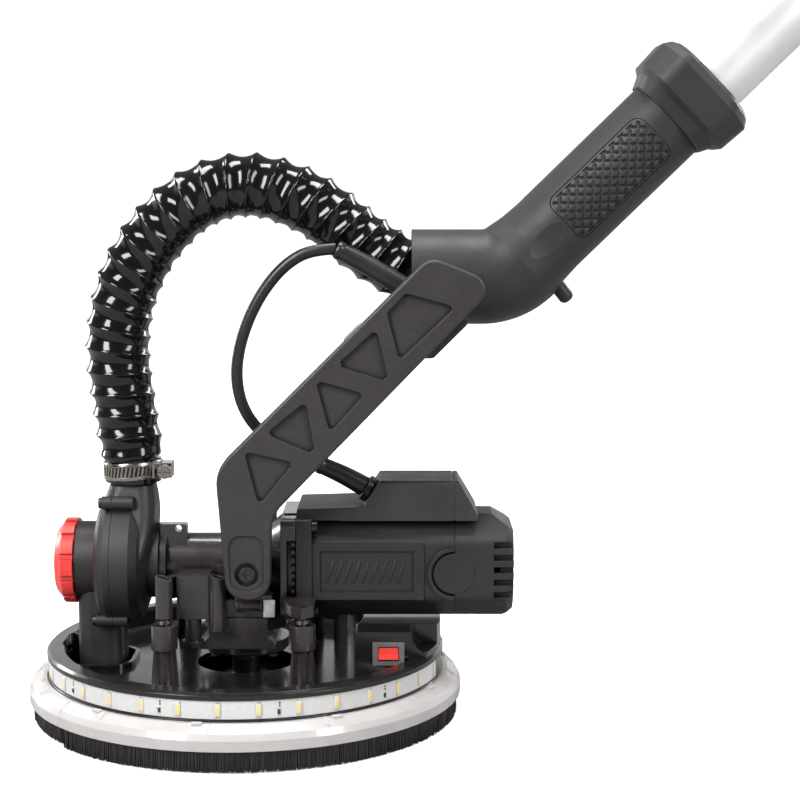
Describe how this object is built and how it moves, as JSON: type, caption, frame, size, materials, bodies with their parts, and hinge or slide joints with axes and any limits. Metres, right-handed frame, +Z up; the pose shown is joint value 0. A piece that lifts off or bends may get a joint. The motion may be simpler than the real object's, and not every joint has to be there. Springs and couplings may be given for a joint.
{
  "type": "pole drywall sander",
  "caption": "Pole drywall sander: round lit sanding head in a forked arm, dust hose to an elbow grip, telescopic pole and rear handle.",
  "frame": {"origin": "centre of the abrasive face, which is level with the brush tips", "axes": "+Z up along the pad's spindle, +X along the motor towards its end cap, -Y the near side of the tool"},
  "size_m": [0.9361, 0.2592, 0.9056],
  "materials": {
    "casing": "fine-grained moulded black plastic",
    "arm": "satin black powder coat",
    "grip": "soft-touch black plastic",
    "inlay": "knurled black rubber",
    "casting": "semi-gloss black cast aluminium",
    "shroud": "glossy black plastic",
    "frame": "smoky clear plastic switch frame",
    "clear": "hazy clear plastic",
    "bristle": "dense black nylon bristle",
    "hose": "glossy black corrugated hose",
    "lead": "black rubber lead",
    "steel": "bright steel",
    "aluminium": "bright anodised aluminium",
    "red": "red moulded plastic",
    "led": "white flexible board",
    "screw": "blackened steel",
    "copper": "wound copper and laminations",
    "foam": "dense black foam",
    "abrasive": "aluminium oxide grit",
    "carbon": "carbon"
  },
  "bodies": {
    "grip": {"elbow_shell_near": "grip", "elbow_shell_far": "grip", "grip_inlays": "inlay", "shell_screws": "screw", "fork_bridge": "casting", "fork_arm_near": "arm", "fork_arm_far": "arm", "fork_bolts": "screw", "lead_relief_elbow": "lead", "pole_tube_inner": "aluminium", "dust_hose": "hose", "motor_lead": "lead"},
    "collar": {"pole_collar": "grip"},
    "head": {"gear_housing": "casting", "gear_cover": "casting", "bearings": "steel", "housing_screws": "screw", "volute_outer": "casing", "volute_inner": "casing", "suction_duct": "casing", "hose_cuff": "hose", "hose_clamp_band": "steel", "clamp_screw": "steel", "motor_shell": "casing", "motor_end_cap": "casing", "stator": "copper", "carbon_brushes": "carbon", "lead_relief_motor": "lead"},
    "rotor": {"rotor_shaft": "steel", "drive_pinion": "steel", "armature": "copper", "cooling_fan": "casing", "suction_impeller": "casing"},
    "pad": {"spindle": "steel", "crown_gear": "steel", "backing_plate": "casing", "foam_pad": "foam", "abrasive_disc": "abrasive", "pad_screw": "screw"},
    "shroud": {"shroud": "shroud", "float_posts": "casting", "switch_cover": "shroud", "rocker_frame": "frame", "led_strip": "led", "clear_ring": "clear", "brush_ring": "bristle", "float_springs": "steel"},
    "light_switch": {"rocker": "red"},
    "edge_section": {"edge_ring": "clear", "edge_brush": "bristle"},
    "suction_knob": {"suction_knob": "red"},
    "pole_upper": {"pole_tube_outer": "aluminium", "rear_shell_near": "grip", "rear_shell_far": "grip", "rear_screws": "screw", "dust_port": "casing", "cord_gland": "lead"},
    "length_lock": {"length_lock": "grip"},
    "trigger": {"trigger": "casing"},
    "speed_dial": {"speed_dial": "casing"}
  },
  "joints": [
    {"name": "head_tilt", "type": "hinge", "parent": "grip", "child": "head", "pos_m": [0.005, 0, 0.0933], "axis": [0, 1, 0], "range_deg": [-35, 45], "deforming": ["dust_hose", "motor_lead"]},
    {"name": "collar_twist", "type": "hinge", "parent": "grip", "child": "collar", "pos_m": [0.2607, 0, 0.36478], "axis": [0.7169, 0, 0.6972], "range_deg": [0, 60]},
    {"name": "pad_spin", "type": "hinge", "parent": "head", "child": "pad", "pos_m": [0, 0, 0.03], "axis": [0, 0, 1], "continuous": true},
    {"name": "rotor_spin", "type": "hinge", "parent": "head", "child": "rotor", "pos_m": [0, 0, 0.091], "axis": [1, 0, 0], "continuous": true},
    {"name": "shroud_float", "type": "slide", "parent": "head", "child": "shroud", "axis": [0, 0, 1], "range_m": [0, 0.0032], "stiffness_N_per_m": 2500, "springref_m": -0.003, "deforming": ["float_springs"]},
    {"name": "light_switch_rock", "type": "hinge", "parent": "shroud", "child": "light_switch", "pos_m": [0.0863, -0.043, 0.0448], "axis": [1, 0, 0], "range_deg": [0, 10]},
    {"name": "edge_slide", "type": "slide", "parent": "shroud", "child": "edge_section", "axis": [-1, 0, 0], "range_m": [0, 0.03]},
    {"name": "suction_knob_turn", "type": "hinge", "parent": "head", "child": "suction_knob", "pos_m": [-0.11, 0, 0.091], "axis": [1, 0, 0], "range_deg": [0, 90]},
    {"name": "pole_extend", "type": "slide", "parent": "grip", "child": "pole_upper", "axis": [0.7169, 0, 0.6972], "range_m": [0, 0.28]},
    {"name": "length_lock_twist", "type": "hinge", "parent": "pole_upper", "child": "length_lock", "pos_m": [0.3582, 0, 0.45959], "axis": [0.7169, 0, 0.6972], "range_deg": [0, 60]},
    {"name": "trigger_squeeze", "type": "slide", "parent": "pole_upper", "child": "trigger", "axis": [-0.6972, 0, 0.7169], "range_m": [0, 0.004], "stiffness_N_per_m": 600, "springref_m": -0.002},
    {"name": "speed_dial_turn", "type": "hinge", "parent": "pole_upper", "child": "speed_dial", "pos_m": [0.61684, 0, 0.75017], "axis": [0, 1, 0], "range_deg": [0, 270]}
  ],
  "couplings": [
    {"joint": "rotor_spin", "follows": "pad_spin", "ratio": 4}
  ]
}
